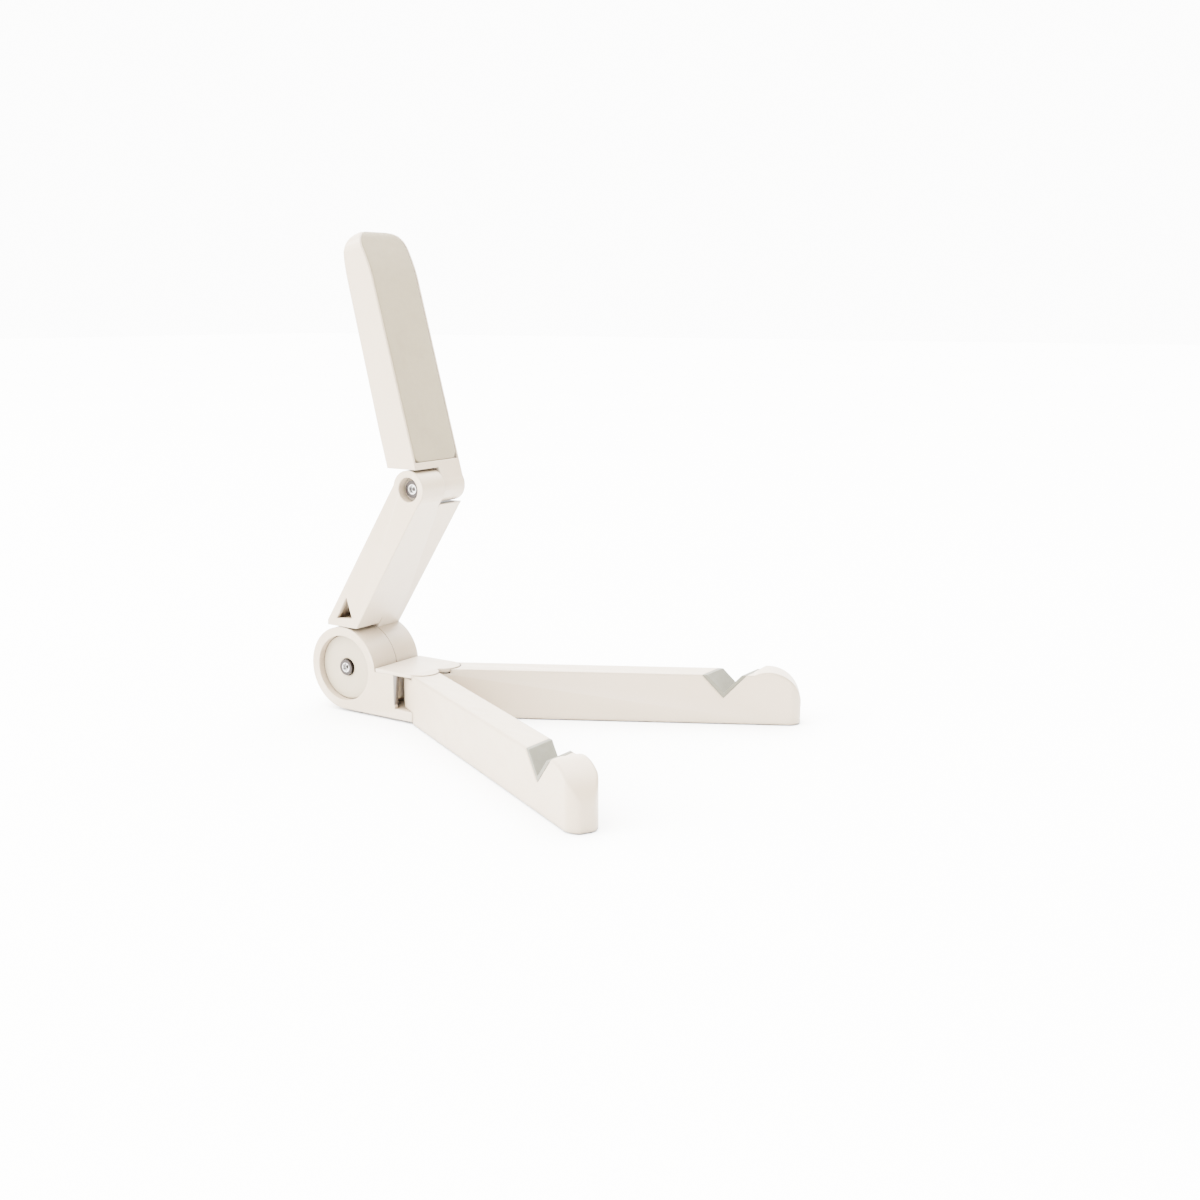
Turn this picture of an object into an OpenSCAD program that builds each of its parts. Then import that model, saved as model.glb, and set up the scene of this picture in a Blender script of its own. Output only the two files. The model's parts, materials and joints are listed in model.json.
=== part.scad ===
// Folding tablet stand: a hub with two swivelling legs, a middle arm and a padded top arm.
// Millimetres. The hinge axes run along X, the legs and the tablet are on the -Y side, +Z is up.
// Origin: on the supporting surface, straight below the hub's barrel axis, midway across the width.

/* [Overall] */
// Width of the folded bar, along the hinge axes
bar_w = 25.2; // [25:0.1:26]
// Thickness of the rubber feet
foot_t = 1.04; // [0.9:0.02:1.2]

/* [Hub] */
// Radius of the barrel and of the knuckle beside it
barrel_r = 16; // [16:0.05:16.1]
// Radius of the round recess in each end of the barrel
recess_r = 12.6; // [12:0.1:13]
// Depth from the barrel's rim down to its cover disc
recess_d = 2.4; // [2:0.1:2.6]
// Thickness of the hub's lower plate
plate_t = 3.76; // [3.6:0.02:3.8]
// Thickness of the hub's top plate
top_t = 1.4; // [1.2:0.1:1.4]
// Forward distance of the two leg pivots from the barrel axis
pivot_y = 33.92; // [33.9:0.02:34.2]
// Distance of each leg pivot from the middle
pivot_x = 6.3; // [6.3:0.05:6.4]

/* [Legs] */
// Angle each leg stands out from straight ahead
spread = 28.7; // [27:0.1:30]
// Width of a leg
leg_w = 11.2; // [11:0.1:11.2]
// Height of a leg's top above the supporting surface
leg_z = 18.9; // [18.7:0.1:18.9]
// Thickness of the thin pads under the legs
leg_foot_t = 0.5; // [0.4:0.05:0.8]
// Radius of the outer back corner of a leg, around its pivot
heel_r = 7.0; // [6.8:0.05:7]
// Distance from the pivot to the middle of the tablet notch
notch_u = 109.15; // [108:0.05:110]
// Depth of the V notch
notch_d = 8.8; // [8:0.1:9]
// Thickness of the rubber liner in the notch
liner_t = 1.3; // [1:0.1:1.5]

/* [Middle arm] */
// Forward lean of the middle arm from upright
arm_lean = 33; // [32.5:0.1:33.5]
// Distance of the front face from the barrel axis
arm_front = 2.6; // [2.6:0.1:2.8]
// Distance of the back face from the barrel axis
arm_back = 15.9; // [15.8:0.02:15.94]
// Distance along the arm from the barrel axis to the elbow axis
elbow_s = 78.4; // [78:0.1:80]
// Distance across the arm from the barrel axis to the elbow axis
elbow_t = 9.4; // [9.3:0.05:9.4]
// Radius of the ear around the elbow axis
ear_r = 7.0; // [6.9:0.05:7]

/* [Top arm] */
// Backward lean of the top arm from upright
top_lean = 15.2; // [15:0.1:15.4]
// Radius of the top arm's knuckle around the elbow axis
knuckle_r = 6.0; // [5.9:0.05:6]
// Distance of the padded front face ahead of the elbow axis
pad_front = 5.7; // [5.6:0.05:5.7]
// Height along the top arm at which the pad starts
pad_start = 8.6; // [8.4:0.1:9]
// Thickness of the pad
pad_t = 1.2; // [1:0.1:1.2]

/* [Hardware] */
// Radius of the hinge screws' shanks
shank_r = 2.0; // [1.95:0.01:2]
// Radial running clearance of a hinge screw or pin
run_c = 0.05; // [0.03:0.01:0.08]

/* [Hidden] */
$fn = 96;
hw = bar_w / 2;
axis_z = foot_t + 16;
half_gap = 0.15;                // each half-lap face stands this far from the middle
plate_z = foot_t + plate_t;     // top of the lower plate
roof_z = leg_z - 1.1;           // underside of the hub's top plate
lobe_r = 6.2;
clear_r = 16.4;                 // hub shoulder that clears the knuckle
knuckle_z0 = plate_z + 0.15;
knuckle_z1 = roof_z - 0.7;
hump_c = [122.7, 8.0];
hump_r = 12.2;
tip_c = 129.5;
tip_r = 5.7;
base_z = 16.3;                  // plane under the middle arm's near half, above the barrel axis
seam_lo = knuckle_r + 0.3;      // gap lines at the elbow, measured from its axis
seam_hi = ear_r + 0.3;
elbow_y = elbow_t * cos(arm_lean) - elbow_s * sin(arm_lean);
elbow_z = axis_z + elbow_t * sin(arm_lean) + elbow_s * cos(arm_lean);
ivory = [0.90, 0.87, 0.82];
stone = [0.68, 0.66, 0.59];
steel = [0.70, 0.70, 0.68];
dark = [0.25, 0.25, 0.24];

// ---- helpers ---------------------------------------------------------------

// cylinder along X
module xcyl(x0, x1, r, y = 0, z = 0, n = 96)
    translate([x0, y, z]) rotate([0, 90, 0]) cylinder(h = x1 - x0, r = r, $fn = n);

// extrude a (y, z) outline along X from x0 to x1
module side(x0, x1)
    translate([x0, 0, 0]) rotate([90, 0, 90]) linear_extrude(height = x1 - x0) children();

// box given by its low and high corners
module box(a, b) translate(a) cube(b - a);

// frames of the two arms
module arm_frame() translate([0, 0, axis_z]) rotate([arm_lean, 0, 0]) children();
module top_frame() translate([0, elbow_y, elbow_z]) rotate([-top_lean, 0, 0]) children();

// a point (y, z) of the standing object, measured from the barrel axis, in the middle arm's frame
function in_arm(y, z) = [y * cos(arm_lean) + z * sin(arm_lean), -y * sin(arm_lean) + z * cos(arm_lean)];
// along-arm position where the middle arm's line at distance t meets the level line at height h
function arm_level(t, h) = (h - t * sin(arm_lean)) / cos(arm_lean);
// the same in the top arm's frame, heights measured from the elbow axis
function top_level(t, h) = let (y = (t + h * sin(top_lean)) / cos(top_lean)) y * sin(top_lean) + h * cos(top_lean);

// left leg frame: +X of the frame points inward, -Y runs out along the leg
module left_frame() translate([-pivot_x, -pivot_y, 0]) rotate([0, 0, -spread]) children();
module right_frame() mirror([1, 0, 0]) left_frame() children();

// ---- hub -------------------------------------------------------------------

// plan outline shared by the two plates that carry the leg pivots
module lobes(z0, z1, back) {
    box([-hw, -pivot_y, z0], [hw, back, z1]);
    for (s = [-1, 1]) translate([s * pivot_x, -pivot_y, z0]) cylinder(h = z1 - z0, r = lobe_r);
    box([-1.2, -pivot_y - 2.5, z0], [1.2, -pivot_y + 1, z1]);
}

module hub_housing() color(ivory) difference() {
    union() {
        xcyl(-hw, -half_gap, barrel_r, 0, axis_z);
        box([-hw, -25.5, foot_t], [-half_gap, -2, roof_z]);
        difference() {
            box([-half_gap, -25.5, foot_t], [hw, -9, roof_z]);
            xcyl(-half_gap - 1, hw + 1, clear_r, 0, axis_z);
        }
        lobes(foot_t, plate_z, -24);
        for (s = [0, 1]) mirror([s, 0, 0]) side(-hw, -hw + 1.5)
            polygon([[-25, plate_z - 1], [-25.6, plate_z - 1], [-25.6, plate_z], [-26.9, roof_z], [-25, roof_z]]);
    }
    // room behind the legs' rounded ends, open to the front and closed by the top plate
    box([-hw + 1.5, -40, plate_z], [hw - 1.5, -18.5, roof_z + 1]);
    // near end: recess, cover seat, weight-saving ring and screw bore
    xcyl(-hw - 1, -hw + recess_d + 1.6, recess_r, 0, axis_z);
    difference() {
        xcyl(-hw + 3, -3, 11.5, 0, axis_z);
        xcyl(-hw + 2, -2, 5.5, 0, axis_z);
    }
    xcyl(-hw - 1, 1, shank_r + run_c, 0, axis_z);
    // pivot pins and cover screws
    for (s = [-1, 1]) {
        translate([s * pivot_x, -pivot_y, foot_t + 0.8]) cylinder(h = 10, r = shank_r + 0.02);
        translate([s * 8.2, -22, foot_t - 1]) cylinder(h = 10, r = 1.3);
        translate([s * 8.2, -22, foot_t - 1]) cylinder(h = 2.4, r = 2.3);
    }
}

module hub_top_plate() color(ivory) difference() {
    union() {
        lobes(roof_z, roof_z + top_t, -16.5);
        for (s = [-1, 1]) translate([s * 8.2, -22, 8]) cylinder(h = roof_z + 0.5 - 8, r = 2.5);
    }
    for (s = [-1, 1]) {
        translate([s * pivot_x, -pivot_y, roof_z - 1]) cylinder(h = 1.6, r = shank_r + 0.02);
        translate([s * 8.2, -22, 7]) cylinder(h = 9, r = 1.12);
    }
}

module hub_end_disc() color(ivory) difference() {
    xcyl(-hw + recess_d, -hw + recess_d + 1.6, recess_r - 0.15, 0, axis_z);
    xcyl(-hw, 0, shank_r + 0.08, 0, axis_z);
    xcyl(-hw, -hw + recess_d + 0.8, 3.3, 0, axis_z);
}

module leg_pivot_pins() color(steel) for (s = [-1, 1])
    translate([s * pivot_x, -pivot_y, foot_t + 0.85]) cylinder(h = roof_z + 0.5 - foot_t - 0.85, r = shank_r);

module leg_spring_washers() color(steel) for (s = [-1, 1])
    translate([s * pivot_x, -pivot_y, knuckle_z1 + 0.05]) difference() {
        cylinder(h = 0.6, r = 4.4);
        translate([0, 0, -1]) cylinder(h = 3, r = shank_r + 0.04);
    }

module hub_cover_screws() color(steel) for (s = [-1, 1]) translate([s * 8.2, -22, 0]) difference() {
    union() {
        translate([0, 0, foot_t + 0.15]) cylinder(h = 1.25, r = 2.1);
        translate([0, 0, foot_t + 1.3]) cylinder(h = 12.4, r = 1.1);
    }
    for (a = [0, 90]) rotate([0, 0, a]) box([-1.3, -0.3, 0], [1.3, 0.3, foot_t + 0.75]);
}

module hub_foot_pad() color(stone) union() {
    box([-10, -27, 0], [10, -9.6, foot_t]);
    box([-10, -10, 0], [half_gap, 2, foot_t]);
}

// ---- middle arm ------------------------------------------------------------

module near_outline() {
    c1 = in_arm(7.2, base_z);
    polygon([[arm_front, arm_level(arm_front, base_z)], c1,
             [arm_back, (arm_back * cos(arm_lean) - 7.2) / sin(arm_lean)],
             [arm_back, elbow_s], [arm_front, elbow_s]]);
    translate([elbow_t, elbow_s]) circle(r = ear_r);
}

module far_outline() {
    h = elbow_z - axis_z - seam_lo;
    circle(r = barrel_r);
    polygon([[arm_front, 0], [arm_back, 0], [arm_back, arm_level(arm_back, h)], [arm_front, arm_level(arm_front, h)]]);
}

module middle_arm_shell() color(ivory) arm_frame() difference() {
    union() {
        side(-hw, -half_gap) near_outline();
        side(half_gap, hw) far_outline();
        // web that joins the two halves between the hinges
        side(-half_gap - 1, half_gap + 1) polygon([
            [arm_front, arm_level(arm_front, base_z) + 3], [arm_back, arm_level(arm_back, base_z) + 12],
            [arm_back, arm_level(arm_back, elbow_z - axis_z - seam_lo) - 4], [arm_front, arm_level(arm_front, elbow_z - axis_z - seam_lo) - 1]]);
    }
    // hollow, open at the back and closed by the cover
    side(-hw + 2.2, hw - 2.2) polygon([[4.4, 22], [13, 20], [14.6, 20.8], [14.6, 63.2], [13, 63.6], [4.4, 69]]);
    side(-hw + 1.6, hw - 1.6) polygon([[14.4, 20], [20, 20], [20, 64], [14.4, 64]]);
    // hollow over the barrel and its three-cornered window in the near side
    side(-hw + 1.8, -1.4) polygon([[4.4, arm_level(4.4, 18.9)], [13.2, arm_level(13.2, 18.9)], [13.8, 15.6], [13.8, 24], [4.4, 24]]);
    side(-hw - 1, -hw + 3) polygon([[12.8, 24.8], [12.6, 14.9], [6.4, 19.7]]);
    // elbow: screw bore and counterbore
    xcyl(-hw - 1, 0, shank_r + run_c, elbow_t, elbow_s);
    xcyl(-hw - 1, -hw + 3.7, 4.5, elbow_t, elbow_s);
    // hub end: recess, weight-saving ring, screw bore and nut pocket
    xcyl(hw - recess_d - 1.6, hw + 1, recess_r, 0, 0);
    difference() {
        xcyl(3, hw - 3, 11.5, 0, 0);
        xcyl(2, hw - 2, 5.5, 0, 0);
    }
    xcyl(0, hw, shank_r + 0.02, 0, 0);
    xcyl(5.4, hw, 4.1, 0, 0, 6);
    xcyl(0, 0.6, 9.1, 0, 0);
}

module middle_arm_cover() color(ivory) arm_frame()
    side(-hw + 1.7, hw - 1.7) polygon([[14.6, 20.1], [arm_back, 20.1], [arm_back, 63.9], [14.6, 63.9]]);

module hub_pivot_screw() color(steel) translate([0, 0, axis_z]) difference() {
    union() {
        xcyl(-hw + 1.3, -hw + recess_d + 0.75, 3.05);
        xcyl(-hw + 2, 8.3, shank_r);
    }
    xcyl(-hw, -hw + 2.5, 1.7, 0, 0, 6);
}

module hub_pivot_nut() color(steel) arm_frame() difference() {
    xcyl(5.4, 8.5, 4.04, 0, 0, 6);
    xcyl(0, 10, shank_r + 0.02);
}

module hub_far_disc() color(ivory) translate([0, 0, axis_z])
    xcyl(hw - recess_d - 1.6, hw - recess_d, recess_r - 0.15);

module hub_friction_washer() color(dark) translate([0, 0, axis_z]) difference() {
    xcyl(-half_gap + 0.05, 0.6, 9);
    xcyl(-1, 1, shank_r + 0.1);
}

// ---- top arm ---------------------------------------------------------------

// side outline above the hinge; the front rolls back over the last part
module top_outline_upper(s_front, s_back) polygon([
    [-pad_front, s_front], [-pad_front, 76], [-5.5, 79.5], [-5.1, 82.5], [-4.6, 85.5], [-4.0, 88.2],
    [-3.5, 90.5], [-2.9, 92.4], [-1.9, 93.7], [-0.6, 94.2], [0.8, 94.0], [2.4, 92.9], [3.7, 91],
    [4.7, 88.2], [5.3, 85], [5.7, 81], [5.9, 76], [7.3, 20], [7.3, s_back]]);

// front view outline: straight sides and rounded top corners
module top_front(inset, low) translate([0, 30, 0]) rotate([90, 0, 0]) linear_extrude(height = 60) {
    w = hw - inset;
    r = 7.2 - inset;
    polygon([[-w, low], [w, low], [w, 94.3 - inset - r], [-w, 94.3 - inset - r]]);
    polygon([[-w + r, low], [w - r, low], [w - r, 94.3 - inset], [-w + r, 94.3 - inset]]);
    for (s = [-1, 1]) translate([s * (w - r), 94.3 - inset - r]) circle(r = r + 0.01);
}

module pad_band() difference() {
    intersection() {
        top_outline_upper(0, 12);
        translate([-20, pad_start]) square([21, 100]);
    }
    translate([pad_t, 0]) top_outline_upper(0, 12);
}

module top_arm_shell() color(ivory) top_frame() difference() {
    union() {
        intersection() {
            side(-hw, hw) top_outline_upper(top_level(-pad_front, seam_hi), top_level(7.3, seam_hi));
            top_front(0, -20);
        }
        side(half_gap, hw) {
            circle(r = knuckle_r);
            polygon([[-pad_front, 0], [5.8, 0], [7.3, 5], [7.3, 12], [-pad_front, 12]]);
        }
    }
    // bed for the pad, window for the front plate, hollow behind it
    intersection() {
        side(-hw, hw) pad_band();
        top_front(0.7, pad_start);
    }
    box([-hw + 1.6, -pad_front + pad_t, 12.9], [hw - 1.6, -pad_front + pad_t + 1.5, 75.1]);
    box([-hw + 1.6, -pad_front, 12.9], [hw - 1.6, -pad_front + pad_t + 0.2, 75.1]);
    side(-hw + 2.6, hw - 2.6) polygon([[-pad_front + pad_t + 1.4, 15], [5.4, 15], [5.3, 20], [4.1, 73], [-pad_front + pad_t + 1.4, 73]]);
    // elbow: screw bore, nut pocket and cap seat
    xcyl(0, hw, shank_r + 0.02);
    xcyl(7.4, hw, 3.9, 0, 0, 6);
    xcyl(hw - 2.6, hw + 1, 4.4);
    xcyl(0, 0.6, 4.9);
}

module top_arm_front_plate() color(ivory) top_frame()
    box([-hw + 1.7, -pad_front + pad_t, 13], [hw - 1.7, -pad_front + pad_t + 1.5, 75]);

module top_pad() color(stone) top_frame() intersection() {
    side(-hw, hw) pad_band();
    top_front(0.75, pad_start + 0.05);
}

module elbow_screw() color(steel) top_frame() difference() {
    union() {
        xcyl(-hw + 2.3, -hw + 3.65, 3.1);
        xcyl(-hw + 3, 9.7, shank_r);
    }
    xcyl(-hw, -hw + 3.3, 1.7, 0, 0, 6);
}

module elbow_nut() color(steel) top_frame() difference() {
    xcyl(7.4, 9.9, 3.84, 0, 0, 6);
    xcyl(0, hw, shank_r + 0.02);
}

module elbow_friction_washer() color(dark) top_frame() difference() {
    xcyl(-half_gap + 0.05, 0.6, 4.8);
    xcyl(-1, 1, shank_r + 0.1);
}

module elbow_cap() color(ivory) top_frame() xcyl(hw - 2.6, hw - 0.8, 4.3);

// ---- legs ------------------------------------------------------------------

// plan of a leg with a round tip, cut to a height range; o trims the outline all round
module leg_plan(z0, z1, u0, o = 0) intersection() {
    box([-leg_w / 2 + o, -150, z0], [leg_w / 2 - o, -u0, z1]);
    union() {
        box([-8, -tip_c, z0 - 1], [8, -u0 + 1, z1 + 1]);
        translate([0, -tip_c, z0 - 1]) cylinder(h = z1 - z0 + 2, r = tip_r - o);
    }
}

// side view of a leg: level top, then a round hump that falls to the tip
module leg_side() side(-10, 10) {
    polygon([[8, leg_foot_t], [8, leg_z], [-119, leg_z], [-119, leg_foot_t]]);
    polygon([[-110, leg_foot_t], [-110, 9], [-134.8, 9], [-134.8, leg_foot_t]]);
    intersection() {
        translate([-hump_c[0], hump_c[1]]) circle(r = hump_r);
        translate([-140, leg_foot_t]) square([40, 30]);
    }
}

// V groove that runs along X while the leg stands at its usual angle
module notch_frame() translate([0, -notch_u, 0]) rotate([0, 0, spread]) children();
module notch_cut() notch_frame() side(-16, 16) polygon([
    [7.1 * 13 / 8.8, leg_z - notch_d + 13], [0, leg_z - notch_d], [-7.5 * 13 / 8.8, leg_z - notch_d + 13]]);
module liner_band() notch_frame() side(-16, 16) let (d = liner_t * 1.57) polygon([
    [7.1 * notch_d / 8.8, leg_z], [0, leg_z - notch_d], [-7.5 * notch_d / 8.8, leg_z],
    [-7.5 * (notch_d - d) / 8.8, leg_z], [0, leg_z - notch_d + d], [7.1 * (notch_d - d) / 8.8, leg_z]]);

module leg_shell() color(ivory) difference() {
    union() {
        difference() {
            intersection() { leg_plan(leg_foot_t, 25, 0); leg_side(); }
            translate([0, 0, 0]) cylinder(h = knuckle_z0, r = 6.7);
            translate([0, 0, knuckle_z1]) cylinder(h = 10, r = 6.7);
        }
        translate([0, 0, knuckle_z0]) cylinder(h = knuckle_z1 - knuckle_z0, r = 5.5);
        intersection() {
            translate([0, 0, knuckle_z0]) cylinder(h = knuckle_z1 - knuckle_z0, r = heel_r);
            box([-leg_w / 2, -1, 0], [0, 10, 30]);
        }
    }
    translate([0, 0, 0]) cylinder(h = 30, r = shank_r + run_c);
    notch_cut();
    // hollow from below, with two screw bosses left standing
    difference() {
        box([-leg_w / 2 + 1.8, -94, 0], [leg_w / 2 - 1.8, -12, leg_z - 1.8]);
        for (u = [24, 84]) translate([0, -u, 0]) cylinder(h = 30, r = 2.6);
    }
    // rebate for the sole
    leg_plan(0, leg_foot_t + 1.4, 10, 1.0);
    for (u = [24, 84]) translate([0, -u, 0]) cylinder(h = 10, r = 0.95);
}

module leg_sole() color(ivory) difference() {
    leg_plan(leg_foot_t, leg_foot_t + 1.35, 10.1, 1.1);
    for (u = [24, 84]) translate([0, -u, 0]) { cylinder(h = 5, r = 1.0); cylinder(h = leg_foot_t + 0.8, r = 1.9); }
}

module leg_screws() color(steel) for (u = [24, 84]) translate([0, -u, 0]) difference() {
    union() {
        translate([0, 0, leg_foot_t + 0.1]) cylinder(h = 0.7, r = 1.75);
        translate([0, 0, leg_foot_t + 0.7]) cylinder(h = 7, r = 0.92);
    }
    for (a = [0, 90]) rotate([0, 0, a]) box([-1.1, -0.25, 0], [1.1, 0.25, leg_foot_t + 0.4]);
}

module notch_liner() color(stone) intersection() { leg_plan(leg_foot_t, 25, 60); liner_band(); }

module leg_foot() color(stone) leg_plan(0, leg_foot_t, 104, 1.6);

module left_leg_shell() left_frame() leg_shell();
module left_leg_sole() left_frame() leg_sole();
module left_notch_liner() left_frame() notch_liner();
module left_foot_pad() left_frame() leg_foot();
module left_leg_screws() left_frame() leg_screws();
module right_leg_shell() right_frame() leg_shell();
module right_leg_sole() right_frame() leg_sole();
module right_notch_liner() right_frame() notch_liner();
module right_foot_pad() right_frame() leg_foot();
module right_leg_screws() right_frame() leg_screws();

// ---- assembly --------------------------------------------------------------

hub_housing();
hub_top_plate();
hub_end_disc();
leg_pivot_pins();
leg_spring_washers();
hub_cover_screws();
hub_foot_pad();
middle_arm_shell();
middle_arm_cover();
hub_pivot_screw();
hub_pivot_nut();
hub_far_disc();
hub_friction_washer();
top_arm_shell();
top_arm_front_plate();
top_pad();
elbow_screw();
elbow_nut();
elbow_friction_washer();
elbow_cap();
left_leg_shell();
left_leg_sole();
left_notch_liner();
left_foot_pad();
left_leg_screws();
right_leg_shell();
right_leg_sole();
right_notch_liner();
right_foot_pad();
right_leg_screws();
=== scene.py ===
import math

import bmesh
import bpy
from mathutils import Matrix, Vector
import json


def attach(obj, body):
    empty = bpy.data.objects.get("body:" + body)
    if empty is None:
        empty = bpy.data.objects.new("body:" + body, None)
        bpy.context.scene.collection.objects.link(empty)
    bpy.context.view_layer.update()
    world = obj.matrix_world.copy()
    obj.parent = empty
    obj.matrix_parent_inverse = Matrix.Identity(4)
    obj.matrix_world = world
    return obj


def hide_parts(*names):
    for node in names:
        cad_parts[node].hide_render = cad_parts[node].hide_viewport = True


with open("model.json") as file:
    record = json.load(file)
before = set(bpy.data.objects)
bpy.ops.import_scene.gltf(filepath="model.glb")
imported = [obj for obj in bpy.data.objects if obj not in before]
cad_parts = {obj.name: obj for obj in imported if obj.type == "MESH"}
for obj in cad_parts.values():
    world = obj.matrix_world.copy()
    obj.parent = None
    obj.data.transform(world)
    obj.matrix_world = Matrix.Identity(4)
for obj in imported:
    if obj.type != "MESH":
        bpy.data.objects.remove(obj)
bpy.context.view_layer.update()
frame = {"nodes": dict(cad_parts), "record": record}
MM = 0.001
NODES = frame["nodes"]

# ---------------------------------------------------------------- camera, at the photograph's angle
yaw, pitch = math.radians(56.13), math.radians(-11.567)
fwd = Vector((math.sin(yaw) * math.cos(pitch), math.cos(yaw) * math.cos(pitch), math.sin(pitch)))
right = Vector((math.cos(yaw), -math.sin(yaw), 0.0))
up = right.cross(fwd)
cam_data = bpy.data.cameras.new("camera")
cam_data.lens = 43.59
cam_data.sensor_width = 36.0
cam_data.sensor_fit = "HORIZONTAL"
cam_data.shift_x = 0.00714
cam_data.shift_y = 0.00359
cam_data.clip_start = 0.01
cam_data.clip_end = 50.0
cam = bpy.data.objects.new("camera", cam_data)
rot = Matrix((right, up, -fwd)).transposed()
cam.matrix_world = Matrix.Translation((-0.40796, -0.37970, 0.15246)) @ rot.to_4x4()
bpy.context.scene.collection.objects.link(cam)
bpy.context.scene.camera = cam


# ---------------------------------------------------------------- materials
def new_material(name):
    m = bpy.data.materials.new(name)
    m.use_nodes = True
    nt = m.node_tree
    nt.nodes.clear()
    out = nt.nodes.new("ShaderNodeOutputMaterial")
    bsdf = nt.nodes.new("ShaderNodeBsdfPrincipled")
    nt.links.new(bsdf.outputs["BSDF"], out.inputs["Surface"])
    return m, nt, bsdf


def noise(nt, scale, detail=3.0, rough=0.5, stretch=None, seed=0.0):
    tc = nt.nodes.new("ShaderNodeTexCoord")
    mp = nt.nodes.new("ShaderNodeMapping")
    mp.inputs["Location"].default_value = (seed, seed * 0.7, seed * 1.3)
    if stretch:
        mp.inputs["Scale"].default_value = stretch
    n = nt.nodes.new("ShaderNodeTexNoise")
    n.inputs["Scale"].default_value = scale
    n.inputs["Detail"].default_value = detail
    n.inputs["Roughness"].default_value = rough
    nt.links.new(tc.outputs["Object"], mp.inputs["Vector"])
    nt.links.new(mp.outputs["Vector"], n.inputs["Vector"])
    return n.outputs["Fac"]


def ramp(nt, fac, stops):
    r = nt.nodes.new("ShaderNodeValToRGB")
    els = r.color_ramp.elements
    els[0].position, els[0].color = stops[0][0], (*stops[0][1], 1)
    els[1].position, els[1].color = stops[-1][0], (*stops[-1][1], 1)
    for p, c in stops[1:-1]:
        e = els.new(p)
        e.color = (*c, 1)
    nt.links.new(fac, r.inputs["Fac"])
    return r.outputs["Color"]


def map_range(nt, fac, lo, hi, a=0.3, b=0.7):
    n = nt.nodes.new("ShaderNodeMapRange")
    n.inputs["From Min"].default_value = a
    n.inputs["From Max"].default_value = b
    n.inputs["To Min"].default_value = lo
    n.inputs["To Max"].default_value = hi
    nt.links.new(fac, n.inputs["Value"])
    return n.outputs["Result"]


def mix(nt, fac, a, b, kind="MIX"):
    n = nt.nodes.new("ShaderNodeMix")
    n.data_type = "RGBA"
    n.blend_type = kind
    if isinstance(fac, float):
        n.inputs[0].default_value = fac
    else:
        nt.links.new(fac, n.inputs[0])
    for sock, v in ((n.inputs[6], a), (n.inputs[7], b)):
        if isinstance(v, tuple):
            sock.default_value = (*v, 1)
        else:
            nt.links.new(v, sock)
    return n.outputs[2]


def bump(nt, bsdf, height, strength, distance, below=None):
    b = nt.nodes.new("ShaderNodeBump")
    b.inputs["Strength"].default_value = strength
    b.inputs["Distance"].default_value = distance
    nt.links.new(height, b.inputs["Height"])
    if below is not None:
        nt.links.new(below, b.inputs["Normal"])
    nt.links.new(b.outputs["Normal"], bsdf.inputs["Normal"])
    return b.outputs["Normal"]


def edge_fac(nt, lo, hi):
    g = nt.nodes.new("ShaderNodeNewGeometry")
    return map_range(nt, g.outputs["Pointiness"], 0.0, 1.0, lo, hi)


def paint_slit_shade(nt, col, dark, y0, y1):
    """Painted shade on the face of the hub block that looks at the legs' heels, where the slit lies."""
    tc = nt.nodes.new("ShaderNodeTexCoord")
    sp = nt.nodes.new("ShaderNodeSeparateXYZ")
    nt.links.new(tc.outputs["Object"], sp.inputs["Vector"])
    ahead = map_range(nt, sp.outputs["Y"], 0.0, 1.0, y0, y1)
    above = map_range(nt, sp.outputs["Z"], 0.0, 1.0, 0.0060, 0.0066)
    both = nt.nodes.new("ShaderNodeMath")
    both.operation = "MULTIPLY"
    nt.links.new(ahead, both.inputs[0])
    nt.links.new(above, both.inputs[1])
    return mix(nt, both.outputs["Value"], col, dark)


def paint_hollow_shade(nt, col, dark, distance=0.004, closed=0.10, open_=0.42):
    """Painted shade: darkens the colour deep in slits, seams and pockets, where shade falls."""
    ao = nt.nodes.new("ShaderNodeAmbientOcclusion")
    ao.samples = 6
    ao.inputs["Distance"].default_value = distance
    return mix(nt, map_range(nt, ao.outputs["AO"], 1.0, 0.0, closed, open_), col, dark)


def rounded(nt, radius):
    n = nt.nodes.new("ShaderNodeBevel")
    n.samples = 4
    n.inputs["Radius"].default_value = radius
    return n.outputs["Normal"]


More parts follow.
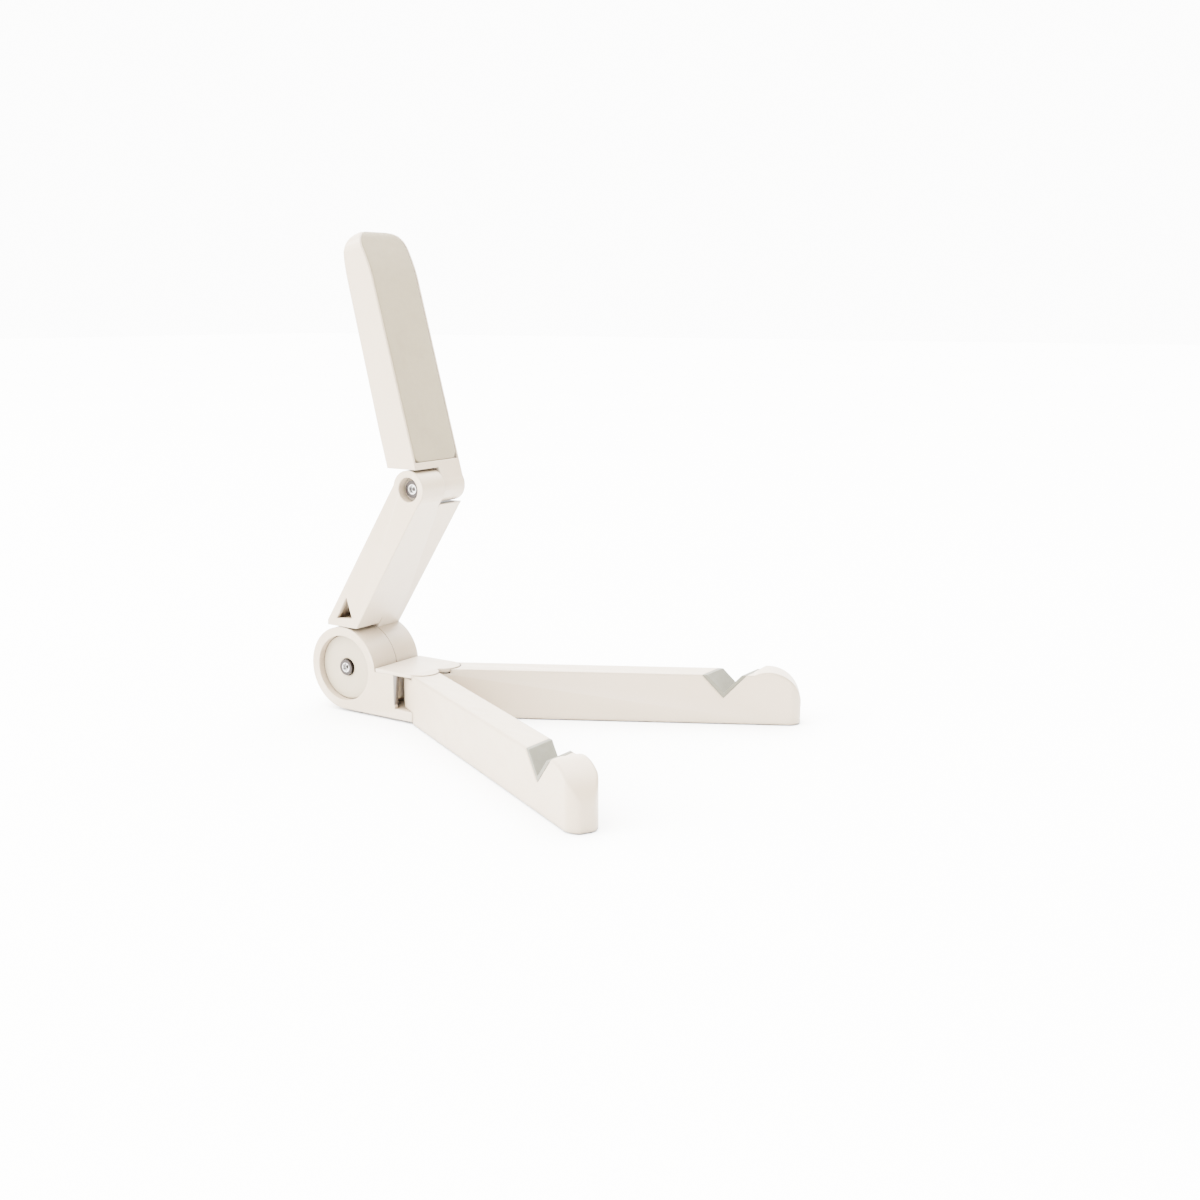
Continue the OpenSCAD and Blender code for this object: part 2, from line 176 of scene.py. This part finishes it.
# the default darker colour (0.100, 0.082, 0.066) is painted shade for slits and seams
# the third colour is a painted highlight on sharp edges
def plastic(name, base, shade, edge_highlight, rough=(0.34, 0.46), grain=0.10, seed=0.0, soft=0.0008, hollow_shade_colour=(0.100, 0.082, 0.066), slit_shade_band=None):
    m, nt, b = new_material(name)
    cloud = noise(nt, 38.0, 4.0, 0.55, seed=seed)
    body = ramp(nt, cloud, [(0.30, shade), (0.52, base), (0.75, tuple(min(1.0, c * 1.012) for c in base))])
    handled = noise(nt, 210.0, 5.0, 0.6, seed=seed + 2.0)
    body = mix(nt, map_range(nt, handled, 0.0, 0.16, 0.52, 0.75), body, shade)
    # painted highlight: lighter colour on sharp convex edges
    body = mix(nt, edge_fac(nt, 0.515, 0.60), body, edge_highlight)
    # painted shade: darker colour in slits, seams and pockets
    body = paint_hollow_shade(nt, body, hollow_shade_colour)
    if slit_shade_band:
        # painted shade: dark colour on the hub block's face towards the legs' heels
        body = paint_slit_shade(nt, body, (0.060, 0.048, 0.038), *slit_shade_band)
    nt.links.new(body, b.inputs["Base Color"])
    scuff = noise(nt, 260.0, 6.0, 0.62, stretch=(1.0, 0.35, 0.8), seed=seed + 5.0)
    nt.links.new(map_range(nt, scuff, rough[0], rough[1]), b.inputs["Roughness"])
    fine = noise(nt, 5200.0, 2.0, 0.5, seed=seed + 7.0)
    coarse = noise(nt, 300.0, 3.0, 0.5, seed=seed + 9.0)
    n1 = bump(nt, b, coarse, 0.10, 0.00025, below=rounded(nt, soft))
    bump(nt, b, fine, grain, 0.00006, below=n1)
    b.inputs["IOR"].default_value = 1.49
    b.inputs["Specular IOR Level"].default_value = 0.45
    return m


def rubber(name, base, shade, rough=(0.62, 0.80), grain=0.35, seed=0.0):
    m, nt, b = new_material(name)
    cloud = noise(nt, 60.0, 5.0, 0.6, seed=seed)
    col = ramp(nt, cloud, [(0.28, shade), (0.5, base), (0.8, tuple(min(1.0, c * 1.03) for c in base))])
    speck = noise(nt, 1900.0, 3.0, 0.7, seed=seed + 3.0)
    col = mix(nt, map_range(nt, speck, 0.0, 0.30, 0.50, 0.80), col, shade)
    nt.links.new(col, b.inputs["Base Color"])
    r = noise(nt, 420.0, 4.0, 0.6, seed=seed + 4.0)
    nt.links.new(map_range(nt, r, rough[0], rough[1]), b.inputs["Roughness"])
    fine = noise(nt, 3400.0, 3.0, 0.6, seed=seed + 6.0)
    bump(nt, b, fine, grain, 0.00008)
    b.inputs["IOR"].default_value = 1.50
    b.inputs["Specular IOR Level"].default_value = 0.30
    b.inputs["Sheen Weight"].default_value = 0.06
    b.inputs["Sheen Roughness"].default_value = 0.5
    return m


def distance_from_axis(nt, y, z):
    tc = nt.nodes.new("ShaderNodeTexCoord")
    sub = nt.nodes.new("ShaderNodeVectorMath")
    sub.operation = "SUBTRACT"
    sub.inputs[1].default_value = (0.0, y, z)
    nt.links.new(tc.outputs["Object"], sub.inputs[0])
    flat = nt.nodes.new("ShaderNodeVectorMath")
    flat.operation = "MULTIPLY"
    flat.inputs[1].default_value = (0.0, 1.0, 1.0)
    nt.links.new(sub.outputs["Vector"], flat.inputs[0])
    ln = nt.nodes.new("ShaderNodeVectorMath")
    ln.operation = "LENGTH"
    nt.links.new(flat.outputs["Vector"], ln.inputs[0])
    return ln.outputs["Value"]


def screw_metal(name, y, z, radius, seed=0.0):
    """A plated screw head: bright face, with painted shade as a dark band round its edge and in its socket."""
    m, nt, b = new_material(name)
    d = distance_from_axis(nt, y, z)
    n = noise(nt, 900.0, 4.0, 0.6, stretch=(0.25, 1.0, 1.0), seed=seed)
    face = mix(nt, map_range(nt, n, 0.0, 0.6, 0.35, 0.75), (0.62, 0.61, 0.60), (0.40, 0.39, 0.38))
    # painted shade: dark band round the head, where the gap to the counterbore lies
    col = mix(nt, map_range(nt, d, 0.0, 1.0, radius * 0.60, radius * 0.70), face, (0.035, 0.030, 0.028))
    # painted shade in the socket
    col = mix(nt, map_range(nt, d, 1.0, 0.0, radius * 0.26, radius * 0.34), col, (0.030, 0.026, 0.024))
    # painted shade in the hollows round the screw head
    col = paint_hollow_shade(nt, col, (0.015, 0.013, 0.012), 0.003, 0.15, 0.5)
    nt.links.new(col, b.inputs["Base Color"])
    nt.links.new(map_range(nt, n, 0.22, 0.42), b.inputs["Roughness"])
    bump(nt, b, noise(nt, 4200.0, 2.0, 0.5, seed=seed + 1.0), 0.12, 0.00004)
    b.inputs["Metallic"].default_value = 1.0
    return m


def metal(name, base, dark, rough=(0.20, 0.36), seed=0.0):
    m, nt, b = new_material(name)
    n = noise(nt, 900.0, 4.0, 0.6, stretch=(0.25, 1.0, 1.0), seed=seed)
    nt.links.new(mix(nt, map_range(nt, n, 0.0, 0.55, 0.35, 0.75), base, dark), b.inputs["Base Color"])
    nt.links.new(map_range(nt, n, rough[0], rough[1]), b.inputs["Roughness"])
    bump(nt, b, noise(nt, 4200.0, 2.0, 0.5, seed=seed + 1.0), 0.12, 0.00004)
    b.inputs["Metallic"].default_value = 1.0
    return m


# base, darker tone, and a lighter painted highlight for sharp edges
IVORY_ARGS = ((0.322, 0.254, 0.178), (0.306, 0.240, 0.165), (0.362, 0.296, 0.222))
IVORY = plastic("ivory_plastic", *IVORY_ARGS)
# this copy paints shade on the hub block's face at the slit
IVORY_HUB = plastic("ivory_plastic_hub", *IVORY_ARGS, slit_shade_band=(-0.02495, -0.02535))
IVORY_LEG = plastic("ivory_plastic_leg", *IVORY_ARGS, soft=0.0018)
HUB_SCREW = screw_metal("hub_screw_steel", 0.0, 0.01704, 0.0027)
ELBOW_SCREW = screw_metal("elbow_screw_steel", -0.034816, 0.087911, 0.0027, seed=3.0)
# the third colour is a painted highlight on the disc's sharp edges
DISC = plastic("disc_plastic", (0.258, 0.212, 0.145), (0.244, 0.199, 0.134), (0.285, 0.240, 0.175), rough=(0.46, 0.58), grain=0.2, seed=3.0)
STONE = rubber("stone_rubber", (0.165, 0.134, 0.082), (0.150, 0.121, 0.073))
# the pad's rubber, coloured darker as painted shade for the notch
LINER_IN_PAINTED_SHADE = rubber("liner_rubber_painted_shade", (0.088, 0.083, 0.060), (0.076, 0.071, 0.051), seed=2.0)
FOOT = rubber("foot_rubber", (0.215, 0.178, 0.132), (0.195, 0.160, 0.118), seed=5.0)
STEEL = metal("plated_steel", (0.72, 0.71, 0.69), (0.50, 0.49, 0.47))
WASHER = rubber("washer_plastic", (0.06, 0.058, 0.055), (0.045, 0.043, 0.041), rough=(0.5, 0.65), grain=0.2, seed=8.0)
BY_SLOT = {"shell": IVORY, "disc": DISC, "pad_rubber": STONE, "foot_rubber": FOOT, "steel": STEEL, "washer": WASHER}
SLOT_OF = {s["node"]: s["material_slot"] for s in frame["record"]["subparts"]}


def give(o, m):
    o.data.materials.clear()
    o.data.materials.append(m)


for name, o in NODES.items():
    mat = BY_SLOT[SLOT_OF[name]]
    for i in range(max(1, len(o.material_slots))):
        if i < len(o.material_slots):
            o.material_slots[i].material = mat


# ---------------------------------------------------------------- helpers for pieces
BODY_OF = {n: body for body, nodes in frame["record"]["behaviour"]["bodies"].items() for n in nodes}


def link(name, me):
    o = bpy.data.objects.new(name, me)
    bpy.context.scene.collection.objects.link(o)
    return o


def stand_for(o, node, mat):
    """Rides on the node's body, hides the node and takes the finish it is given."""
    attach(o, BODY_OF[node])
    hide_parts(node)
    o.data.materials.clear()
    o.data.materials.append(mat)
    return o


def clean_copy(node):
    """The node's mesh, welded, with its flat faces merged, as a bmesh."""
    bm = bmesh.new()
    bm.from_mesh(NODES[node].data)
    bmesh.ops.remove_doubles(bm, verts=bm.verts, dist=1e-6)
    bmesh.ops.dissolve_degenerate(bm, edges=bm.edges, dist=2e-6)
    bmesh.ops.dissolve_limit(bm, angle_limit=math.radians(0.6), verts=bm.verts, edges=bm.edges)
    bmesh.ops.recalc_face_normals(bm, faces=bm.faces)
    return bm


def soft_shell(node, name, mat, width, rule=None, angle=24.0, segments=4):
    """A moulded shell: the node's shape with its edges rounded by up to width (mm)."""
    bm = clean_copy(node)
    lay = bm.edges.layers.float.get("bevel_weight_edge") or bm.edges.layers.float.new("bevel_weight_edge")
    lim = math.radians(angle)
    for e in bm.edges:
        if len(e.link_faces) != 2:
            continue
        if e.calc_face_angle(0.0) < lim:
            continue
        w = width
        if rule:
            mid = (e.verts[0].co + e.verts[1].co) * 500.0
            r = rule(mid, e)
            if r is not None:
                w = r
        e[lay] = max(0.0, min(1.0, w / width))
    me = bpy.data.meshes.new(name)
    bm.to_mesh(me)
    bm.free()
    o = link(name, me)
    for p in me.polygons:
        p.use_smooth = True
    b = o.modifiers.new("soft_edges", "BEVEL")
    b.width = width * MM
    b.segments = segments
    b.limit_method = "WEIGHT"
    b.use_clamp_overlap = True
    b.loop_slide = True
    b.harden_normals = True
    b.miter_outer = "MITER_ARC"
    w = o.modifiers.new("even_shading", "WEIGHTED_NORMAL")
    w.keep_sharp = False
    w.weight = 90
    return stand_for(o, node, mat)


def seam_rule(mid, e):
    # the faces of the half-laps stay crisp, so that the seams between the halves are thin
    if all(abs(abs(v.co.x) * 1000 - 0.15) < 0.02 for v in e.verts):
        return 0.12
    return None


def hub_rule(mid, e):
    r = seam_rule(mid, e)
    if r is not None:
        return r
    if mid.z > 17.0 and mid.y < -16.0:
        return 0.15
    if mid.y < -17 and abs(mid.x) < 11.2:
        return 0.2
    return None


def arm_rule(mid, e):
    r = seam_rule(mid, e)
    if r is not None:
        return r
    if abs(mid.x) < 10.9 and abs(mid.x) > 0.3:
        # hollow, window lip and the cover's seat
        return 0.15
    return None


def top_rule(mid, e):
    r = seam_rule(mid, e)
    if r is not None:
        return r
    t = (mid.y + 34.81) * math.cos(math.radians(15.2)) - (mid.z - 87.91) * math.sin(math.radians(15.2))
    if abs(mid.x) < 12.2 and t < 0.5 and mid.z > 96:
        return 0.15
    return None


def leg_rule(mid, e):
    if math.hypot(abs(mid.x) - 6.3, mid.y + 33.92) < 7.2:
        return 0.25
    if mid.z < 2.2:
        return 0.25
    return None


soft_shell("hub_housing", "hub_body", IVORY_HUB, 0.9, hub_rule)
soft_shell("hub_top_plate", "hub_lid", IVORY, 0.25)
soft_shell("hub_end_disc", "hub_near_disc", DISC, 0.35)
soft_shell("hub_far_disc", "hub_far_cover", DISC, 0.35)
soft_shell("middle_arm_shell", "middle_arm", IVORY, 0.8, arm_rule)
soft_shell("middle_arm_cover", "middle_arm_back", IVORY, 0.3)
soft_shell("top_arm_shell", "top_arm", IVORY, 1.1, top_rule)
soft_shell("top_arm_front_plate", "pad_carrier", IVORY, 0.2)
soft_shell("elbow_cap", "elbow_far_cap", DISC, 0.4)
soft_shell("hub_pivot_screw", "hub_screw", HUB_SCREW, 0.35)
soft_shell("elbow_screw", "elbow_hinge_screw", ELBOW_SCREW, 0.35)
soft_shell("hub_foot_pad", "hub_foot", FOOT, 0.3)
for side_name in ("left", "right"):
    soft_shell(side_name + "_leg_shell", side_name + "_leg", IVORY_LEG, 1.5, leg_rule, segments=5)
    soft_shell(side_name + "_leg_sole", side_name + "_sole", IVORY, 0.2)
    soft_shell(side_name + "_notch_liner", side_name + "_liner", LINER_IN_PAINTED_SHADE, 0.25)
    soft_shell(side_name + "_foot_pad", side_name + "_foot", FOOT, 0.2)

# ---------------------------------------------------------------- the soft pad on the top arm
def top_to_world(x, t, sl):
    a = math.radians(-15.2)
    y = t * math.cos(a) - sl * math.sin(a)
    z = t * math.sin(a) + sl * math.cos(a)
    return (x * MM, (y - 34.8126) * MM, (z + 87.911) * MM)


PROFILE = [(-5.7, 8.65), (-5.7, 76), (-5.5, 79.5), (-5.1, 82.5), (-4.6, 85.5), (-4.0, 88.2), (-3.5, 90.5),
           (-2.9, 92.4), (-1.9, 93.7), (-0.6, 94.2), (0.75, 94.02)]


def catmull(pts, step):
    out = []
    n = len(pts)
    for i in range(n - 1):
        p0, p1, p2, p3 = pts[max(i - 1, 0)], pts[i], pts[i + 1], pts[min(i + 2, n - 1)]
        d = math.dist(p1, p2)
        k = max(2, int(round(d / step)))
        for j in range(k):
            u = j / k
            if d > 20:
                out.append((p1[0] + (p2[0] - p1[0]) * u, p1[1] + (p2[1] - p1[1]) * u))
                continue
            out.append(tuple(0.5 * (2 * p1[c] + (p2[c] - p0[c]) * u + (2 * p0[c] - 5 * p1[c] + 4 * p2[c] - p3[c]) * u * u
                                    + (3 * p1[c] - p0[c] - 3 * p2[c] + p3[c]) * u ** 3) for c in (0, 1)))
    out.append(pts[-1])
    return out


def make_pad():
    path = catmull(PROFILE[:2], 1.0)[:-1] + catmull(PROFILE[1:], 0.5)
    arc = [0.0]
    for i in range(1, len(path)):
        arc.append(arc[-1] + math.dist(path[i], path[i - 1]))
    total = arc[-1]
    half = 11.82
    r_low, r_top = 3.4, 1.6
    # extra rows close to both ends, so that the corners are round
    marks = sorted(set([0.0, 0.04, 0.12, 0.25, 0.45, 0.7, 1.05, 1.5, 2.0, 2.6, 3.4, 4.2] + [a for a in arc if 4.8 < a < total - 2.0]
                       + [total - d for d in (1.6, 1.2, 0.85, 0.55, 0.3, 0.12, 0.0)]))

    def at(a):
        i = max(1, min(len(arc) - 1, next((k for k in range(1, len(arc)) if arc[k] >= a - 1e-9), len(arc) - 1)))
        u = (a - arc[i - 1]) / max(1e-9, arc[i] - arc[i - 1])
        p = (path[i - 1][0] + (path[i][0] - path[i - 1][0]) * u, path[i - 1][1] + (path[i][1] - path[i - 1][1]) * u)
        dt = ((path[i][0] - path[i - 1][0]) / math.dist(path[i], path[i - 1]), (path[i][1] - path[i - 1][1]) / math.dist(path[i], path[i - 1]))
        return p, (-dt[1], dt[0])

    # how far in from the outline, and how far the skin drops there
    rim = [(0.0, 1.05), (0.0, 0.62), (0.05, 0.42), (0.16, 0.26), (0.34, 0.14), (0.60, 0.06), (0.95, 0.02), (1.5, 0.0)]

    def outline(sl):
        if sl <= 87.1:
            return half
        return min(half, 5.4 + math.sqrt(max(0.0, 7.2 ** 2 - (min(sl, 94.25) - 87.1) ** 2)) - 0.78)

    def width_at(a):
        w = outline(at(a)[0][1])
        if a < r_low:
            w = half - r_low + math.sqrt(max(0.0, r_low ** 2 - (r_low - a) ** 2))
        if a > total - r_top:
            w = min(w, w - r_top + math.sqrt(max(0.0, r_top ** 2 - (r_top - (total - a)) ** 2)))
        return w

    def drop_at(x, a):
        # distance to the rounded outline, then the rim's fall
        w = outline(at(a)[0][1])
        d = min(w - abs(x), a, total - a)
        for r, end in ((r_low, a), (r_top, total - a)):
            if end < r and abs(x) > w - r:
                d = min(d, r - math.hypot(abs(x) - (w - r), r - end))
        d = max(d, 0.0)
        for (d0, h0), (d1, h1) in zip(rim[1:], rim[2:]):
            if d <= d1:
                u = (d - d0) / max(1e-9, d1 - d0)
                return h0 + (h1 - h0) * u
        return 0.0

    cols = [-1, -0.996, -0.986, -0.97, -0.945, -0.91, -0.86, -0.78, -0.68, -0.56, -0.43, -0.29, -0.145, 0.0]
    cols = cols + [-c for c in reversed(cols[:-1])]
    verts, faces = [], []
    grid = []
    for a in marks:
        (t, sl), (nt_, ns_) = at(a)
        w = width_at(a)
        row = []
        for c in cols:
            x = c * w
            dz = drop_at(x, a) - 0.10
            # the normal (nt_, ns_) points out of the face (towards -t), so the skin sinks against it
            nn = (-abs(nt_), ns_) if a < 60 else (nt_, ns_)
            row.append(len(verts))
            verts.append(top_to_world(x, t - nt_ * dz, sl - ns_ * dz))
        grid.append(row)
    for i in range(len(grid) - 1):
        for j in range(len(cols) - 1):
            faces.append((grid[i][j], grid[i][j + 1], grid[i + 1][j + 1], grid[i + 1][j]))
    # skirt and underside
    loop = grid[0] + [r[-1] for r in grid[1:-1]] + list(reversed(grid[-1])) + [r[0] for r in reversed(grid[1:-1])]
    arcs = [marks[0]] * len(cols) + marks[1:-1] + [marks[-1]] * len(cols) + list(reversed(marks[1:-1]))
    low = []
    for v, a in zip(loop, arcs):
        (t, sl), (nt_, ns_) = at(a)
        w = Vector(verts[v])
        n0 = Vector(top_to_world(0, nt_, ns_)) - Vector(top_to_world(0, 0, 0))
        low.append(len(verts))
        verts.append(tuple(w - n0 * 0.42))
    k = len(loop)
    for i in range(k):
        faces.append((loop[(i + 1) % k], loop[i], low[i], low[(i + 1) % k]))
    # the underside is a ladder between the two long edges
    faces_low = {}
    idx = {v: l for v, l in zip(loop, low)}
    for i in range(len(grid) - 1):
        a0, a1 = idx[grid[i][0]], idx[grid[i][-1]]
        b0, b1 = idx[grid[i + 1][0]], idx[grid[i + 1][-1]]
        if i == 0:
            faces.append(tuple([idx[v] for v in reversed(grid[0])] + [b0, b1]))
        elif i == len(grid) - 2:
            faces.append(tuple([a1, a0] + [idx[v] for v in grid[-1]]))
        else:
            faces.append((a1, a0, b0, b1))
    me = bpy.data.meshes.new("soft_pad")
    me.from_pydata(verts, [], faces)
    me.validate()
    bm = bmesh.new()
    bm.from_mesh(me)
    bmesh.ops.remove_doubles(bm, verts=bm.verts, dist=2e-6)
    bmesh.ops.dissolve_degenerate(bm, edges=bm.edges, dist=1e-6)
    bmesh.ops.recalc_face_normals(bm, faces=bm.faces)
    bm.to_mesh(me)
    bm.free()
    for p in me.polygons:
        p.use_smooth = True
    o = link("soft_pad", me)
    return o


pad = stand_for(make_pad(), "top_pad", STONE)

# ---------------------------------------------------------------- floor and light
WORLD_LIT, WORLD_DIM, WORLD_TOP = 12.5, 0.9, 10.0


def quad(name, pts):
    me = bpy.data.meshes.new(name)
    me.from_pydata(pts, [], [tuple(range(len(pts)))])
    o = bpy.data.objects.new(name, me)
    bpy.context.scene.collection.objects.link(o)
    return o


floor = quad("floor", [(-6, -6, 0), (6, -6, 0), (6, 6, 0), (-6, 6, 0)])
m, nt, b = new_material("pale_floor")
nt.links.new(ramp(nt, noise(nt, 3.0, 3.0), [(0.3, (0.90, 0.90, 0.895)), (0.7, (0.92, 0.92, 0.915))]), b.inputs["Base Color"])
b.inputs["Roughness"].default_value = 0.85
b.inputs["Specular IOR Level"].default_value = 0.1
floor.data.materials.append(m)

world = bpy.data.worlds.new("studio")
world.use_nodes = True
nt = world.node_tree
bg = nt.nodes["Background"]
tc = nt.nodes.new("ShaderNodeTexCoord")
sep = nt.nodes.new("ShaderNodeSeparateXYZ")
nt.links.new(tc.outputs["Generated"], sep.inputs["Vector"])
def smooth(value, lo, hi, a, b):
    n = nt.nodes.new("ShaderNodeMapRange")
    n.interpolation_type = "SMOOTHSTEP"
    n.inputs["From Min"].default_value = lo
    n.inputs["From Max"].default_value = hi
    n.inputs["To Min"].default_value = a
    n.inputs["To Max"].default_value = b
    nt.links.new(value, n.inputs["Value"])
    return n.outputs["Result"]


tilt = nt.nodes.new("ShaderNodeMath")
tilt.operation = "MULTIPLY_ADD"
tilt.inputs[1].default_value = 0.50
nt.links.new(sep.outputs["Z"], tilt.inputs[0])
nt.links.new(sep.outputs["Y"], tilt.inputs[2])
both = nt.nodes.new("ShaderNodeMath")
both.operation = "ADD"
nt.links.new(smooth(tilt.outputs["Value"], -0.35, 0.20, WORLD_DIM, WORLD_LIT), both.inputs[0])
nt.links.new(smooth(sep.outputs["Z"], 0.35, 0.95, 0.0, WORLD_TOP), both.inputs[1])
bg.inputs["Color"].default_value = (1.0, 1.0, 0.99, 1)
nt.links.new(both.outputs["Value"], bg.inputs["Strength"])
bpy.context.scene.world = world


def area(name, loc, target, size, power, color=(1, 1, 1)):
    l = bpy.data.lights.new(name, "AREA")
    l.shape = "DISK"
    l.size = size
    l.energy = power
    l.color = color
    o = bpy.data.objects.new(name, l)
    o.location = loc
    d = Vector(target) - Vector(loc)
    o.rotation_euler = d.to_track_quat("-Z", "Y").to_euler()
    bpy.context.scene.collection.objects.link(o)
    return o


area("key", (-1.5, 1.3, 1.2), (0, -0.06, 0.06), 1.4, 110.0, (1.0, 0.985, 0.96))

import json
